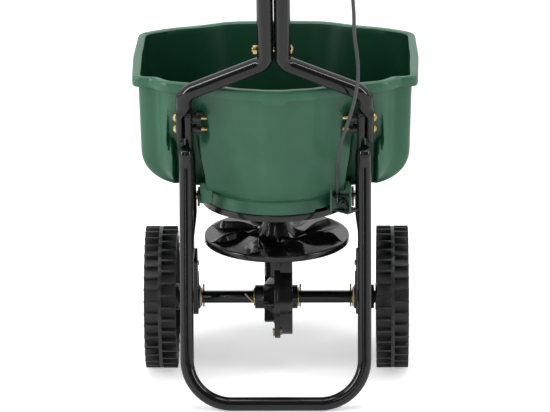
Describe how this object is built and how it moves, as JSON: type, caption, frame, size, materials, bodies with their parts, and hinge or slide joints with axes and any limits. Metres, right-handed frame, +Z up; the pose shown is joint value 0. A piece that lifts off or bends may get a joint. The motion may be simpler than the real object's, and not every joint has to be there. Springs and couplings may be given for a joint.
{
  "type": "broadcast spreader",
  "caption": "Walk-behind broadcast spreader with a moulded hopper, a geared impeller on the axle, paddle-tread wheels, a tube stand and a tall tube handle.",
  "frame": {"origin": "on the ground, midway between the wheels, straight below the axle", "axes": "+Z up, +Y the way the spreader is pushed, +X to the operator's right"},
  "size_m": [0.402, 0.7006, 1.1039],
  "materials": {
    "hopper_green": "satin moulded plastic",
    "black_plastic": "satin moulded plastic",
    "black_paint": "gloss powder coat",
    "zinc": "yellow zinc",
    "steel": "plain",
    "bronze": "sintered",
    "nylon": "natural nylon",
    "wheel_plastic": "satin moulded plastic",
    "grip_rubber": "matt",
    "cable_jacket": "satin"
  },
  "bodies": {
    "frame": {"hopper": "hopper_green", "base_plate": "black_plastic", "base_screws": "zinc", "plate_bush": "bronze", "crank_pin": "zinc", "column_bush": "bronze", "gearbox_left_shell": "black_plastic", "gearbox_right_shell": "black_plastic", "gearbox_screws": "zinc", "gearbox_bushes": "nylon", "axle_bushes": "nylon", "left_axle_bracket": "black_plastic", "right_axle_bracket": "black_plastic", "bracket_rivets": "zinc", "left_leg": "black_paint", "right_leg": "black_paint", "leg_caps": "black_plastic", "stand_tube": "black_paint", "hopper_brackets": "black_paint", "hopper_bolts": "zinc", "hopper_nuts": "zinc", "bracket_screws": "zinc", "left_lower_handle": "black_paint", "right_lower_handle": "black_paint", "side_bolts": "zinc", "side_knobs": "black_plastic", "handle_bolts": "zinc", "handle_nuts": "zinc", "left_upper_handle": "black_paint", "right_upper_handle": "black_paint", "left_grip": "grip_rubber", "right_grip": "grip_rubber", "console_body": "black_plastic", "console_back": "black_plastic", "console_clamp": "black_paint", "console_screws": "zinc", "lever_pin": "steel", "control_cable": "cable_jacket", "cable_ferrules": "black_plastic", "cable_wire": "steel"},
    "shutter": {"shutoff_plate": "black_plastic"},
    "crank": {"shutoff_crank": "black_plastic"},
    "spinner": {"impeller_shaft": "steel", "impeller": "black_plastic", "impeller_pin": "zinc", "pinion": "nylon", "agitator": "black_plastic"},
    "axle_set": {"axle": "black_paint", "axle_washers": "zinc", "axle_clips": "zinc", "drive_wheel": "wheel_plastic", "wheel_drive_pin": "zinc", "drive_gear": "nylon", "gear_pin": "steel"},
    "free_wheel": {"free_wheel": "wheel_plastic"},
    "lever": {"control_lever": "zinc", "lever_knob": "hopper_green"},
    "dial": {"rate_dial": "black_plastic"}
  },
  "joints": [
    {"name": "axle_spin", "type": "hinge", "parent": "frame", "child": "axle_set", "pos_m": [0, 0, 0.1016], "axis": [1, 0, 0], "continuous": true},
    {"name": "free_wheel_spin", "type": "hinge", "parent": "axle_set", "child": "free_wheel", "pos_m": [0.1645, 0, 0.1016], "axis": [1, 0, 0], "continuous": true},
    {"name": "impeller_spin", "type": "hinge", "parent": "frame", "child": "spinner", "pos_m": [0, 0, 0.2], "axis": [0, 0, 1], "continuous": true},
    {"name": "control_lever", "type": "hinge", "parent": "frame", "child": "lever", "pos_m": [0.014, -0.42745, 0.946], "axis": [-1, 0, 0], "range_deg": [0, 33]},
    {"name": "shutoff_crank", "type": "hinge", "parent": "frame", "child": "crank", "pos_m": [0.094, -0.092, 0.274], "axis": [0, 1, 0], "range_deg": [0, 56]},
    {"name": "shutoff_plate", "type": "hinge", "parent": "frame", "child": "shutter", "pos_m": [0, 0, 0.26], "axis": [0, 0, -1], "range_deg": [0, 8.19]},
    {"name": "rate_dial", "type": "hinge", "parent": "frame", "child": "dial", "pos_m": [-0.02, -0.44353, 0.98263], "axis": [0, 0.4019, -0.9157], "range_deg": [0, 270]}
  ],
  "couplings": [
    {"joint": "impeller_spin", "follows": "axle_spin", "ratio": -5},
    {"joint": "shutoff_crank", "follows": "control_lever", "ratio": 1.697},
    {"joint": "shutoff_plate", "follows": "control_lever", "ratio": 0.24808}
  ]
}
